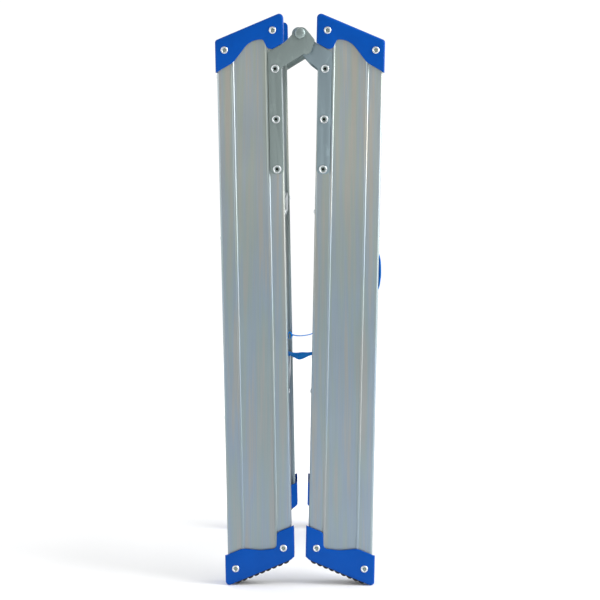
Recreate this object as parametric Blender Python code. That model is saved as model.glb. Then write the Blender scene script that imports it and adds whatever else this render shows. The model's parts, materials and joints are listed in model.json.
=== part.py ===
"""Double-sided folding step ladder, folded shut and standing on its feet.

Units are metres, +Z is up. X is the fold direction, Y the ladder's width. Each half is drawn
upright in its own frame: p runs outward from the hinge pin across the rail, q runs up the rail,
and both are zero on the pin. An empty on the pin then leans the half over.
"""
import math

import bmesh
import bpy
from mathutils import Matrix, Vector

# Driving dimensions
CLOSED_LEAN = math.radians(1.1)      # each half leans in at the bottom when folded
END_CUT = math.radians(21.7)         # the cut of both rail ends, which is the opened lean
WIDTH = 0.400                        # across the outer faces of the rail webs
RAIL_DEPTH = 0.096
RAIL_INNER = 0.0268                  # hinge pin to the rail's inner edge
RAIL_OUTER = RAIL_INNER + RAIL_DEPTH
GAP = 0.0003                         # between pieces that touch
SIDES = {"left": -1, "right": 1}
DEPTHS = {"near": -1, "far": 1}

# Levels along the rail, measured on its inner edge
CAP_TOP = 0.0311
RAIL_TOP = CAP_TOP - 0.0033
SOLE_BOTTOM = -0.7843
FOOT_BOTTOM = SOLE_BOTTOM + 0.0028
RAIL_BOTTOM = FOOT_BOTTOM + 0.0060
TREAD_TOPS = {"lower": SOLE_BOTTOM + 0.2680, "middle": SOLE_BOTTOM + 0.5360,
              "top": SOLE_BOTTOM + 0.7750}

# Rail section
WALL = 0.0022
FLANGE = 0.028
RIDGE_OFFSET = 0.023                 # from each edge of the web to a ridge's centre
RIDGE_WIDTH = 0.0042
RIDGE_HEIGHT = 0.0010
WEB_CORNER = 0.0022
PANEL_RECESS = 0.0002                # the web between the ridges lies a little lower

# Tread section
TREAD_HEIGHT = 0.030
TREAD_WALL = 0.0020
TREAD_LIP = 0.006
RIB_HEIGHT = 0.0012
RIB_WIDTH = 0.0034
RIBS_EACH_SIDE = 5
LAND_WIDTH = 0.012                   # the flat band along the middle of a tread

# Caps and soles
CAP_INNER = 0.0243
CAP_OUTER = 0.1247
FOOT_INNER = 0.0232
FOOT_OUTER = 0.1268
FOOT_CORNER = 0.0055                 # the bevel between a foot cap's inner side and its sole
FOOT_SHELL = 0.0040                  # the depth of a foot cap's shaped front
FOOT_WALL_TOP = -0.7412              # where its other walls stop
CAP_FACE = WIDTH / 2 + 0.0040
POCKET_FACE = WIDTH / 2 + RIDGE_HEIGHT + GAP
POCKET_BACK = WIDTH / 2 - FLANGE - GAP
CAP_BACK = POCKET_BACK - 0.0020
SOLE_INNER = 0.0306
SOLE_OUTER = 0.1112
SOLE_LOBES = 9
SOLE_LOBE_HEIGHT = 0.0026
SOLE_RECESS = 0.0020
SOLE_BORDER = 0.0016                 # from the cap's faces to the sole's ends
CUT_THROUGH = 0.0100                 # how far a cutter runs past the face it opens

# Hinge
PLATE = 0.0030
ARM_INNER = 0.0280
ARM_OUTER = 0.0473
ARM_SHOULDER = -0.0268
ARM_END = -0.2050
ARM_END_ROUND = 0.0065
PLATE_BACK = WIDTH / 2 + GAP
JOGGLE = PLATE + GAP
JOGGLE_SLANT = math.radians(-23.1)   # the way the step faces, from the outward direction
JOGGLE_FROM = 0.0370                 # from the pin to the step's two edges, along that way
JOGGLE_TO = 0.0252
WEB_CLEAR_FROM = 0.0263              # the plate's back only steps in clear of the rail
WEB_CLEAR_TO = 0.0228
PIN_RADIUS = 0.0040
PIN_HEAD_RADIUS = 0.0080
PIN_HEAD_HEIGHT = 0.0042
PIN_HEAD_RIM = 0.0014
PIN_TAIL_RADIUS = 0.0068
PIN_TAIL_HEIGHT = 0.0022
PIN_CLEARANCE = 0.00008
WASHER_RADIUS = 0.0082
WASHER_THICKNESS = 0.0016
RIVET_P = 0.0376
RIVET_LEVELS = (-0.0508, -0.1246, -0.1978)
RIVET_RADIUS = 0.0024
RIVET_HEAD_RADIUS = 0.0061
RIVET_HEAD_HEIGHT = 0.0017
RIVET_MOUTH_RADIUS = 0.0017
RIVET_TAIL_RADIUS = 0.0033
RIVET_TAIL_LENGTH = 0.0045

# Webbing straps: each hangs slack while folded, from an anchor on the left half, across the gap,
# out past the right half's rail and back to the right half's anchor
STRAP_WIDTH = 0.025
STRAP_THICKNESS = 0.0018
STRAP_NEAR_EDGE = WIDTH / 2 - 0.0320
STRAP_ANCHOR_P = 0.0279
STRAP_ANCHOR_Q = {"left": -0.4740, "right": -0.4650}
STRAP_KNUCKLES = ((0.0380, -0.4815), (0.0800, -0.4205), (0.1195, -0.3625), (0.1195, -0.3335),
                  (0.0690, -0.3995))  # in X and Z, from the pin
STRAP_LINK_CLEARANCE = 0.0040
BRACKET_HEIGHT = 0.0079
BRACKET_DROP = 0.0006                # from the strap's anchor down to the bracket
LOW_BRACKET_DROP = 0.0105            # the same on the left half's far side, where the strap hangs lower
BRACKET_THICKNESS = 0.0020
BRACKET_WEB_CLEARANCE = 0.0030       # from the back of the rail's web to the bracket
BRACKET_OVERHANG = 0.0020            # how far the bracket runs past the strap's edge


def clear_scene():
    for item in list(bpy.data.objects):
        bpy.data.objects.remove(item, do_unlink=True)


def new_collection(name):
    collection = bpy.data.collections.new(name)
    bpy.context.scene.collection.children.link(collection)
    return collection


def principled(name, color, roughness, metallic):
    material = bpy.data.materials.new(name)
    material.use_nodes = True
    shader = material.node_tree.nodes["Principled BSDF"]
    shader.inputs["Base Color"].default_value = (*color, 1.0)
    shader.inputs["Roughness"].default_value = roughness
    shader.inputs["Metallic"].default_value = metallic
    return material


def end_line(p, level):
    """The height q, at p, of a line parallel to the rail's end cuts."""
    return level - (p - RAIL_INNER) * math.tan(END_CUT)


def rounded(corners, steps=5):
    """A closed outline from (p, q) or (p, q, radius) corners, its rounded corners as arcs."""
    outline = []
    count = len(corners)
    for index, corner in enumerate(corners):
        point = Vector(corner[:2])
        radius = corner[2] if len(corner) == 3 else 0.0
        if radius == 0.0:
            outline.append(point)
            continue
        before = (Vector(corners[index - 1][:2]) - point).normalized()
        after = (Vector(corners[(index + 1) % count][:2]) - point).normalized()
        half_angle = before.angle(after) / 2
        tangent = radius / math.tan(half_angle)
        centre = point + (before + after).normalized() * radius / math.sin(half_angle)
        start = point + before * tangent - centre
        turn = start.angle_signed(point + after * tangent - centre)
        for step in range(steps + 1):
            outline.append(centre + Matrix.Rotation(-turn * step / steps, 2) @ start)
    return outline


def flat_mesh(name, outline, thickness):
    """A filled flat outline in X-Y, of the given thickness along Z, as a welded mesh."""
    curve = bpy.data.curves.new(name, "CURVE")
    curve.dimensions = "2D"
    curve.fill_mode = "BOTH"
    curve.extrude = thickness / 2
    spline = curve.splines.new("POLY")
    spline.points.add(len(outline) - 1)
    for point, place in zip(spline.points, outline):
        point.co = (place[0], place[1], 0.0, 1.0)
    spline.use_cyclic_u = True
    guide = bpy.data.objects.new(name + "_outline", curve)
    bpy.context.scene.collection.objects.link(guide)
    bpy.context.view_layer.update()
    evaluated = guide.evaluated_get(bpy.context.evaluated_depsgraph_get())
    mesh = bpy.data.meshes.new_from_object(evaluated)
    bpy.data.objects.remove(guide, do_unlink=True)
    bpy.data.curves.remove(curve)
    mesh.name = name
    weld(mesh)
    join_flat_faces(mesh)
    return mesh


def join_flat_faces(mesh):
    """Merge the triangles of a filled outline into whole flat faces."""
    work = bmesh.new()
    work.from_mesh(mesh)
    bmesh.ops.dissolve_limit(work, angle_limit=math.radians(0.1), verts=work.verts, edges=work.edges)
    work.to_mesh(mesh)
    work.free()


def weld(mesh):
    """Join a mesh's loose edges and turn its faces outward."""
    work = bmesh.new()
    work.from_mesh(mesh)
    bmesh.ops.remove_doubles(work, verts=work.verts, dist=1e-6)
    bmesh.ops.recalc_face_normals(work, faces=work.faces)
    work.to_mesh(mesh)
    work.free()


def profile_mesh(name, outline, side, y_from, y_to):
    """An outline in (p, q) made into a slab between two depths of one half."""
    mesh = flat_mesh(name, outline, abs(y_to - y_from))
    middle = (y_from + y_to) / 2
    for vertex in mesh.vertices:
        p, q, depth = vertex.co
        vertex.co = (side * p, middle + depth, q)
    weld(mesh)
    return mesh


def slope_ends(mesh):
    """Shear an upright mesh so that its level faces run along the rail's end cuts."""
    for vertex in mesh.vertices:
        vertex.co.z -= (abs(vertex.co.x) - RAIL_INNER) * math.tan(END_CUT)


def place(name, mesh, material, parent, smooth=False):
    """Put a finished mesh in the model as a named piece of a half."""
    piece = bpy.data.objects.new(name, mesh)
    PARTS.objects.link(piece)
    piece.parent = parent
    mesh.materials.append(material)
    if smooth:
        mesh.shade_smooth()
        mesh.set_sharp_from_angle(angle=math.radians(35))
    return piece


def cut(piece, cutter):
    """Cut a hidden tool out of a piece."""
    CUTTERS.objects.link(cutter)
    cutter.parent = piece.parent
    cutter.hide_render = True
    cutter.display_type = "WIRE"
    boolean = piece.modifiers.new("cut_" + cutter.name, "BOOLEAN")
    boolean.operation = "DIFFERENCE"
    boolean.object = cutter


def pin_cutter(name, radius, x, z, y_from, y_to):
    """A round cutter along Y."""
    mesh = bpy.data.meshes.new(name)
    work = bmesh.new()
    bmesh.ops.create_cone(work, cap_ends=True, segments=24, radius1=radius, radius2=radius,
                          depth=abs(y_to - y_from))
    turn = Matrix.Rotation(math.radians(90), 4, "X")
    bmesh.ops.transform(work, matrix=turn, verts=work.verts)
    bmesh.ops.translate(work, vec=(x, (y_from + y_to) / 2, z), verts=work.verts)
    work.to_mesh(mesh)
    work.free()
    return bpy.data.objects.new(name, mesh)


def turned_mesh(name, profile, depth_sign, segments=24):
    """A turned piece with its axis on Y. profile is (radius, distance out from the ladder)."""
    mesh = bpy.data.meshes.new(name)
    work = bmesh.new()
    verts = [work.verts.new((radius, depth_sign * out, 0.0)) for radius, out in profile]
    edges = [work.edges.new(pair) for pair in zip(verts, verts[1:])]
    bmesh.ops.spin(work, geom=verts + edges, cent=(0, 0, 0), axis=(0, 1, 0),
                   angle=math.tau, steps=segments, use_merge=True)
    bmesh.ops.remove_doubles(work, verts=work.verts, dist=1e-6)
    bmesh.ops.recalc_face_normals(work, faces=work.faces)
    work.to_mesh(mesh)
    work.free()
    return mesh


def make_rail(half, side, depth_name, depth):
    """A deep C-channel with two raised ridges along its web, its flanges turned inward."""
    face = depth * WIDTH / 2
    web_back = face - depth * WALL
    lip = face - depth * FLANGE
    ridge = face + depth * RIDGE_HEIGHT
    panel = face - depth * PANEL_RECESS
    inner_ridge = RAIL_INNER + RIDGE_OFFSET
    outer_ridge = RAIL_OUTER - RIDGE_OFFSET
    section = [(RAIL_INNER, lip), (RAIL_INNER, face, WEB_CORNER)]
    for centre, before, after in ((inner_ridge, face, panel), (outer_ridge, panel, face)):
        section += [(centre - RIDGE_WIDTH / 2, before), (centre - RIDGE_WIDTH / 4, ridge),
                    (centre + RIDGE_WIDTH / 4, ridge), (centre + RIDGE_WIDTH / 2, after)]
    section += [(RAIL_OUTER, face, WEB_CORNER), (RAIL_OUTER, lip), (RAIL_OUTER - WALL, lip),
                (RAIL_OUTER - WALL, web_back), (RAIL_INNER + WALL, web_back),
                (RAIL_INNER + WALL, lip)]
    name = f"rail_{half.name.split('_')[0]}_{depth_name}"
    mesh = flat_mesh(name, rounded(section), RAIL_TOP - RAIL_BOTTOM)
    middle = (RAIL_TOP + RAIL_BOTTOM) / 2
    for vertex in mesh.vertices:
        vertex.co = (side * vertex.co.x, vertex.co.y, vertex.co.z + middle)
    weld(mesh)
    slope_ends(mesh)
    rail = place(name, mesh, MATERIALS["aluminium"], half, smooth=True)
    for number, level in enumerate(RIVET_LEVELS):
        hole = pin_cutter(f"{name}_hole_{number}", RIVET_RADIUS + PIN_CLEARANCE, side * RIVET_P, level,
                          face + depth * CUT_THROUGH, face - depth * CUT_THROUGH)
        cut(rail, hole)
    return rail


def tread_outline(level):
    """The ribbed top, skirts and inturned lips of a tread, before its slope."""
    inner = RAIL_INNER + WALL + GAP
    outer = RAIL_OUTER - WALL - GAP
    base = level - RIB_HEIGHT
    foot = level - TREAD_HEIGHT
    middle = (inner + outer) / 2
    ribbed = middle - LAND_WIDTH / 2 - inner
    pitch = ribbed / (RIBS_EACH_SIDE + 0.25)
    rib_centres = [inner + pitch * (number + 0.5) for number in range(RIBS_EACH_SIDE)]
    bands = [(centre, RIB_WIDTH) for centre in rib_centres]
    bands.append((middle, LAND_WIDTH))
    bands += [(2 * middle - centre, RIB_WIDTH) for centre in reversed(rib_centres)]
    outline = [(inner, foot), (inner, base)]
    for centre, width in bands:
        outline += [(centre - width / 2, base), (centre - width / 2 + RIB_HEIGHT / 2, level),
                    (centre + width / 2 - RIB_HEIGHT / 2, level), (centre + width / 2, base)]
    outline += [(outer, base), (outer, foot), (outer - TREAD_LIP, foot),
                (outer - TREAD_LIP, foot + TREAD_WALL), (outer - TREAD_WALL, foot + TREAD_WALL),
                (outer - TREAD_WALL, base - TREAD_WALL), (inner + TREAD_WALL, base - TREAD_WALL),
                (inner + TREAD_WALL, foot + TREAD_WALL), (inner + TREAD_LIP, foot + TREAD_WALL),
                (inner + TREAD_LIP, foot)]
    return outline


def make_tread(half, side, level_name):
    level = TREAD_TOPS[level_name]
    reach = WIDTH / 2 - WALL - GAP
    name = f"tread_{half.name.split('_')[0]}_{level_name}"
    mesh = profile_mesh(name, tread_outline(level), side, -reach, reach)
    slope_ends(mesh)
    return place(name, mesh, MATERIALS["tread"], half)


def top_cap_outline():
    return rounded([
        (CAP_INNER, end_line(CAP_INNER, CAP_TOP), 0.0060),
        (CAP_OUTER, end_line(CAP_OUTER, CAP_TOP), 0.0045),
        (CAP_OUTER, -0.0553, 0.0010),
        (0.0985, -0.0406, 0.0200),
        (0.0727, -0.0079, 0.0300),
        (0.0542, -0.0079, 0.0046),
        (0.0468, -0.0255, 0.0085),
        (CAP_INNER, -0.0133, 0.0010)])


def foot_cap_outline():
    return rounded([
        (FOOT_INNER, end_line(FOOT_INNER, FOOT_BOTTOM) + FOOT_CORNER / 2, 0.0015),
        (FOOT_INNER + FOOT_CORNER, end_line(FOOT_INNER + FOOT_CORNER, FOOT_BOTTOM), 0.0015),
        (FOOT_OUTER, end_line(FOOT_OUTER, FOOT_BOTTOM), 0.0055),
        (FOOT_OUTER, -0.7737, 0.0010),
        (0.1000, -0.7635, 0.0200),
        (0.0740, -0.7667, 0.0400),
        (0.0500, -0.7643, 0.0070),
        (0.0487, -0.7400, 0.0060),
        (FOOT_INNER, -0.7299, 0.0012)])


def sloped_block(inner, outer, low, high):
    """An outline whose lower and upper sides, at the levels low and high, follow the end cuts."""
    return [(inner, end_line(inner, low)), (outer, end_line(outer, low)),
            (outer, end_line(outer, high)), (inner, end_line(inner, high))]


def make_cap(name, outline, half, side, depth, pocket_low, pocket_high):
    """A moulded end cap: a slab to the outline, hollowed to slip over the rail's end."""
    mesh = profile_mesh(name, outline, side, depth * CAP_FACE, depth * CAP_BACK)
    cap = place(name, mesh, MATERIALS["blue_plastic"], half, smooth=True)
    pocket = sloped_block(RAIL_INNER - GAP, RAIL_OUTER + GAP, pocket_low, pocket_high)
    tool = profile_mesh(name + "_pocket", pocket, side, depth * POCKET_FACE, depth * POCKET_BACK)
    cut(cap, bpy.data.objects.new(name + "_pocket", tool))
    return cap


def make_top_cap(half, side, depth_name, depth):
    """A top cap's inner wall is open below the top of the top tread, which runs through it."""
    name = f"top_cap_{half.name.split('_')[0]}_{depth_name}"
    below = 4 * CAP_TOP
    cap = make_cap(name, top_cap_outline(), half, side, depth, -below, RAIL_TOP + GAP)
    notch = sloped_block(RAIL_INNER + WALL, RAIL_OUTER - WALL, -below, TREAD_TOPS["top"] + GAP)
    tool = profile_mesh(name + "_notch", notch, side, depth * (POCKET_BACK + CUT_THROUGH),
                        depth * (CAP_BACK - CUT_THROUGH))
    cut(cap, bpy.data.objects.new(name + "_notch", tool))
    return cap


def make_foot_cap(half, side, depth_name, depth):
    """A foot cap's side and inner walls stop below the shaped edge of its front."""
    name = f"foot_cap_{half.name.split('_')[0]}_{depth_name}"
    above = RAIL_BOTTOM + 4 * FOOT_OUTER
    cap = make_cap(name, foot_cap_outline(), half, side, depth, RAIL_BOTTOM - GAP, above)
    shoulder = sloped_block(FOOT_INNER - CUT_THROUGH, FOOT_OUTER + CUT_THROUGH, FOOT_WALL_TOP, above)
    tool = profile_mesh(name + "_shoulder", shoulder, side, depth * (CAP_FACE - FOOT_SHELL),
                        depth * (CAP_BACK - CUT_THROUGH))
    cut(cap, bpy.data.objects.new(name + "_shoulder", tool))
    recess = sloped_block(SOLE_INNER - GAP, SOLE_OUTER + GAP, FOOT_BOTTOM - CUT_THROUGH,
                          FOOT_BOTTOM + SOLE_RECESS)
    near, far = sole_depths(depth, -GAP)
    tool = profile_mesh(name + "_recess", recess, side, near, far)
    cut(cap, bpy.data.objects.new(name + "_recess", tool))
    return cap


def sole_depths(depth, inset):
    return depth * (CAP_FACE - SOLE_BORDER - inset), depth * (CAP_BACK + SOLE_BORDER + inset)


def make_sole(half, side, depth_name, depth):
    """A rubber tread pad with rounded lobes across its underside."""
    top = SOLE_RECESS - GAP
    outline = [(SOLE_INNER, end_line(SOLE_INNER, FOOT_BOTTOM) + top)]
    pitch = (SOLE_OUTER - SOLE_INNER) / SOLE_LOBES
    steps = 6
    for lobe in range(SOLE_LOBES):
        for step in range(steps + (lobe == SOLE_LOBES - 1)):
            phase = step / steps
            p = SOLE_INNER + pitch * (lobe + phase)
            drop = SOLE_LOBE_HEIGHT * math.sin(math.pi * phase) ** 0.7 if 0 < phase < 1 else 0.0
            outline.append((p, end_line(p, FOOT_BOTTOM) - drop))
    outline.append((SOLE_OUTER, end_line(SOLE_OUTER, FOOT_BOTTOM) + top))
    name = f"sole_{half.name.split('_')[0]}_{depth_name}"
    near, far = sole_depths(depth, 0.0)
    mesh = profile_mesh(name, outline, side, near, far)
    return place(name, mesh, MATERIALS["rubber"], half, smooth=True)


def left_plate_outline():
    """The front plate: arm, shoulder and a broad head that laps over the pin."""
    return rounded([
        (ARM_OUTER, ARM_SHOULDER, 0.0020),
        (ARM_OUTER, ARM_END, ARM_END_ROUND),
        (ARM_INNER, ARM_END, ARM_END_ROUND),
        (ARM_INNER, -0.0493, 0.0060),
        (-0.0040, -0.0306, 0.0010),
        (-0.0136, -0.0312, 0.0080),
        (-0.0219, -0.0105, 0.0050),
        (-0.0026, 0.0143, 0.0097),
        (0.0157, -0.0056, 0.0080),
        (CAP_INNER + 0.0010, -0.0147)])


def right_plate_outline():
    """The rear plate: the same arm, with a smaller head behind the front plate's."""
    return rounded([
        (ARM_OUTER, ARM_SHOULDER, 0.0020),
        (ARM_OUTER, ARM_END, ARM_END_ROUND),
        (ARM_INNER, ARM_END, ARM_END_ROUND),
        (ARM_INNER, -0.0515, 0.0060),
        (0.0145, -0.0413, 0.0100),
        (0.0030, -0.0290, 0.0030),
        (-0.0145, 0.0020, 0.0090),
        (-0.0020, 0.0118, 0.0085),
        (0.0157, -0.0056, 0.0080),
        (CAP_INNER + 0.0010, -0.0147)])


def ramp(value, start, end):
    """0 before start, 1 past end, and straight between them."""
    return min(max((value - start) / (end - start), 0.0), 1.0)


def joggle(mesh, side, depth):
    """Step a plate's head inward by its own thickness, over a straight sloping band."""
    facing = Vector((side * math.cos(JOGGLE_SLANT), 0.0, math.sin(JOGGLE_SLANT)))
    outward = Vector((side, 0.0, 0.0))
    work = bmesh.new()
    work.from_mesh(mesh)
    for way, reach in ((facing, JOGGLE_FROM), (facing, JOGGLE_TO),
                       (outward, WEB_CLEAR_FROM), (outward, WEB_CLEAR_TO)):
        everything = work.verts[:] + work.edges[:] + work.faces[:]
        bmesh.ops.bisect_plane(work, geom=everything, dist=1e-6, plane_co=way * reach, plane_no=way)
    bmesh.ops.triangulate(work, faces=work.faces)
    middle = PLATE_BACK + PLATE / 2
    for vertex in work.verts:
        share = ramp(vertex.co.dot(facing), JOGGLE_FROM, JOGGLE_TO)
        if depth * vertex.co.y < middle:
            share = min(share, ramp(vertex.co.dot(outward), WEB_CLEAR_FROM, WEB_CLEAR_TO))
        vertex.co.y -= depth * JOGGLE * share
    work.to_mesh(mesh)
    work.free()
    weld(mesh)


def make_plate(half, side, depth_name, depth):
    front = side < 0
    outline = left_plate_outline() if front else right_plate_outline()
    name = f"hinge_plate_{half.name.split('_')[0]}_{depth_name}"
    back = depth * PLATE_BACK
    face = depth * (PLATE_BACK + PLATE)
    mesh = profile_mesh(name, outline, side, face, back)
    if not front:
        joggle(mesh, side, depth)
    plate = place(name, mesh, MATERIALS["zinc"], half)
    reach = depth * CUT_THROUGH
    bore = pin_cutter(name + "_bore", PIN_RADIUS + PIN_CLEARANCE, 0.0, 0.0, face + reach, back - reach)
    cut(plate, bore)
    for number, level in enumerate(RIVET_LEVELS):
        hole = pin_cutter(f"{name}_hole_{number}", RIVET_RADIUS + PIN_CLEARANCE, side * RIVET_P, level,
                          face + reach, back - reach)
        cut(plate, hole)
    return plate


def dome(radius, base, height, steps=4):
    """The quarter outline of a domed head, from its rim up to its crown."""
    angles = [math.pi / 2 * step / steps for step in range(1, steps + 1)]
    return [(radius * math.cos(a) if a < math.pi / 2 else 0.0, base + height * math.sin(a))
            for a in angles]


def make_hinge_pin(half, depth_name, depth):
    """A shouldered rivet through both plate heads, with a flat tail behind the washer."""
    front = PLATE_BACK + PLATE + GAP
    tail = PLATE_BACK - JOGGLE - WASHER_THICKNESS - 2 * GAP
    end = tail - PIN_TAIL_HEIGHT
    profile = [(0.0, end), (PIN_TAIL_RADIUS - 0.0006, end), (PIN_TAIL_RADIUS, end + 0.0010),
               (PIN_TAIL_RADIUS, tail), (PIN_RADIUS, tail), (PIN_RADIUS, front),
               (PIN_HEAD_RADIUS, front), (PIN_HEAD_RADIUS, front + PIN_HEAD_RIM)]
    profile += dome(PIN_HEAD_RADIUS, front + PIN_HEAD_RIM, PIN_HEAD_HEIGHT - PIN_HEAD_RIM)
    name = f"hinge_pin_{depth_name}"
    mesh = turned_mesh(name, profile, depth, segments=28)
    return place(name, mesh, MATERIALS["zinc"], half, smooth=True)


def make_washer(half, depth_name, depth):
    outer = PLATE_BACK - JOGGLE - GAP
    inner = outer - WASHER_THICKNESS
    hole = PIN_RADIUS + PIN_CLEARANCE
    profile = [(hole, inner), (WASHER_RADIUS, inner), (WASHER_RADIUS, outer), (hole, outer),
               (hole, inner)]
    name = f"hinge_washer_{depth_name}"
    mesh = turned_mesh(name, profile, depth, segments=28)
    return place(name, mesh, MATERIALS["zinc"], half, smooth=True)


def make_plate_rivet(half, side, depth_name, depth, number):
    """A blind rivet: a domed rim round a hollow mouth, and a bulged tail inside the rail."""
    front = PLATE_BACK + PLATE + GAP
    behind = WIDTH / 2 - WALL - GAP
    crown = front + RIVET_HEAD_HEIGHT
    end = behind - RIVET_TAIL_LENGTH
    profile = [(0.0, end), (RIVET_RADIUS, end), (RIVET_TAIL_RADIUS, end + 0.0015),
               (RIVET_TAIL_RADIUS, behind), (RIVET_RADIUS, behind), (RIVET_RADIUS, front),
               (RIVET_HEAD_RADIUS, front), (RIVET_HEAD_RADIUS - 0.0003, crown - 0.0010),
               (RIVET_HEAD_RADIUS - 0.0016, crown - 0.0002), (RIVET_MOUTH_RADIUS + 0.0005, crown),
               (RIVET_MOUTH_RADIUS, crown - 0.0004), (RIVET_MOUTH_RADIUS, front - 0.0010),
               (0.0, front - 0.0012)]
    name = f"plate_rivet_{half.name.split('_')[0]}_{depth_name}_{number + 1}"
    mesh = turned_mesh(name, profile, depth, segments=20)
    rivet = place(name, mesh, MATERIALS["rivet"], half, smooth=True)
    rivet.location = (side * RIVET_P, 0.0, RIVET_LEVELS[number])
    return rivet


def make_strap_bracket(half, side, depth_name, depth):
    """A small plate behind the rail's inner flange that a strap is stitched round."""
    inner = RAIL_INNER + WALL + GAP
    outer = inner + BRACKET_THICKNESS
    side_name = half.name.split("_")[0]
    hangs_low = side_name == "left" and depth_name == "far"
    top = STRAP_ANCHOR_Q[side_name] - (LOW_BRACKET_DROP if hangs_low else BRACKET_DROP)
    bottom = top - BRACKET_HEIGHT
    outline = [(inner, bottom), (outer, bottom), (outer, top), (inner, top)]
    name = f"strap_bracket_{side_name}_{depth_name}"
    back = WIDTH / 2 - WALL - BRACKET_WEB_CLEARANCE
    front = STRAP_NEAR_EDGE - STRAP_WIDTH - BRACKET_OVERHANG
    mesh = profile_mesh(name, outline, side, depth * back, depth * front)
    return place(name, mesh, MATERIALS["zinc"], half)


def anchor_point(side_name):
    """Where a strap is held on one half while folded, in X and Z."""
    half_turn = Matrix.Rotation(-CLOSED_LEAN, 2)
    offset = half_turn @ Vector((STRAP_ANCHOR_P, STRAP_ANCHOR_Q[side_name]))
    return Vector((SIDES[side_name] * offset.x, PIN_HEIGHT + offset.y))


def strap_route():
    """Both anchors of the folded strap and the knuckles between them, in X and Z."""
    knuckles = [Vector((x, PIN_HEIGHT + z)) for x, z in STRAP_KNUCKLES]
    return [anchor_point("left")] + knuckles + [anchor_point("right")]


def make_strap_link(name, start, end, depth):
    """One stiff stretch of webbing between two knuckles of a strap."""
    along = end - start
    length = along.length - 2 * STRAP_LINK_CLEARANCE
    mesh = bpy.data.meshes.new(name)
    work = bmesh.new()
    bmesh.ops.create_cube(work, size=1.0)
    bmesh.ops.scale(work, vec=(length, STRAP_WIDTH, STRAP_THICKNESS), verts=work.verts)
    work.to_mesh(mesh)
    work.free()
    link = place(name, mesh, MATERIALS["webbing"], None)
    middle = (start + end) / 2
    link.location = (middle.x, depth * (STRAP_NEAR_EDGE - STRAP_WIDTH / 2), middle.y)
    link.rotation_euler = (0.0, -math.atan2(along.y, along.x), 0.0)
    return link


def make_half(side_name, side):
    half = bpy.data.objects.new(f"{side_name}_half", None)
    PARTS.objects.link(half)
    half.location = (0.0, 0.0, PIN_HEIGHT)
    half.rotation_euler = (0.0, side * CLOSED_LEAN, 0.0)
    for level_name in TREAD_TOPS:
        make_tread(half, side, level_name)
    for depth_name, depth in DEPTHS.items():
        make_rail(half, side, depth_name, depth)
        make_top_cap(half, side, depth_name, depth)
        make_foot_cap(half, side, depth_name, depth)
        make_sole(half, side, depth_name, depth)
        make_plate(half, side, depth_name, depth)
        make_strap_bracket(half, side, depth_name, depth)
        for number in range(len(RIVET_LEVELS)):
            make_plate_rivet(half, side, depth_name, depth, number)
    return half


def pin_height():
    """Lift the hinge pin so that the folded ladder stands on its feet at Z = 0."""
    lean = Matrix.Rotation(CLOSED_LEAN, 2)
    return -min((lean.inverted() @ point).y for point in foot_cap_outline())


clear_scene()
PARTS = new_collection("folding_step_ladder")
CUTTERS = new_collection("cutters")
PIN_HEIGHT = pin_height()
MATERIALS = {
    "aluminium": principled("rail_aluminium", (0.56, 0.58, 0.58), 0.42, 1.0),
    "tread": principled("tread_aluminium", (0.62, 0.64, 0.65), 0.38, 1.0),
    "blue_plastic": principled("blue_cap_plastic", (0.005, 0.10, 0.47), 0.45, 0.0),
    "rubber": principled("sole_rubber", (0.015, 0.015, 0.017), 0.85, 0.0),
    "zinc": principled("zinc_plate", (0.36, 0.42, 0.42), 0.45, 1.0),
    "rivet": principled("rivet_aluminium", (0.70, 0.70, 0.66), 0.30, 1.0),
    "webbing": principled("blue_webbing", (0.01, 0.12, 0.42), 0.80, 0.0),
}
halves = {side_name: make_half(side_name, side) for side_name, side in SIDES.items()}
for depth_name, depth in DEPTHS.items():
    make_hinge_pin(halves["left"], depth_name, depth)
    make_washer(halves["left"], depth_name, depth)
    route = strap_route()
    for number, (start, end) in enumerate(zip(route, route[1:])):
        make_strap_link(f"strap_{depth_name}_{number + 1}", start, end, depth)
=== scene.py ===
"""The looks of the double-sided folding step ladder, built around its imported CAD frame."""
import json
import math

import bmesh
import bpy
from mathutils import Matrix, Vector


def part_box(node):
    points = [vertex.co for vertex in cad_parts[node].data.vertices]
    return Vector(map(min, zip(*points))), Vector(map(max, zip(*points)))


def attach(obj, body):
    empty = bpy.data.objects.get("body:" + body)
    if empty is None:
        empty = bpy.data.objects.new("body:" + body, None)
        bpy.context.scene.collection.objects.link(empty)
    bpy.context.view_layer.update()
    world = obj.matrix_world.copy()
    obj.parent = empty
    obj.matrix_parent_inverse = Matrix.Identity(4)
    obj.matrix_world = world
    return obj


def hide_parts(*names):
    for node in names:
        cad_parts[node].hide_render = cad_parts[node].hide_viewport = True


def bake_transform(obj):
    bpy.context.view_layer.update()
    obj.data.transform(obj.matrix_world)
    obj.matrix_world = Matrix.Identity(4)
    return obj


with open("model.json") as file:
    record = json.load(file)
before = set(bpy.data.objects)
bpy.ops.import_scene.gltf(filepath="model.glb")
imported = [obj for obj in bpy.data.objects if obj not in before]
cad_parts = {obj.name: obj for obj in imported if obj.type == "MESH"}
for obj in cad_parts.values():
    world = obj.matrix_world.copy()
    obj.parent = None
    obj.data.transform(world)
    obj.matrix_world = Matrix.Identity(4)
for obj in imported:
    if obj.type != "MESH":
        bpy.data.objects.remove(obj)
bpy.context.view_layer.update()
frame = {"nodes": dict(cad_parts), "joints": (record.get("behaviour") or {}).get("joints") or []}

# Shared sizes, in metres. p runs outward from the hinge pin across a rail, q runs up the rail, and a
# level is the q of a sloped line at the rail's inner edge.
MM = 0.001
CLEARANCE = 0.0003
JOINTS = {joint["name"]: joint for joint in frame["joints"]}
PIN = Vector(JOINTS["leg_fold"]["pos_m"])
SIDES = {"left": -1, "right": 1}
DEPTHS = {"near": -1, "far": 1}
LEAN = math.radians(1.1)        # of each half, folded
END_CUT = math.radians(21.7)
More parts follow.
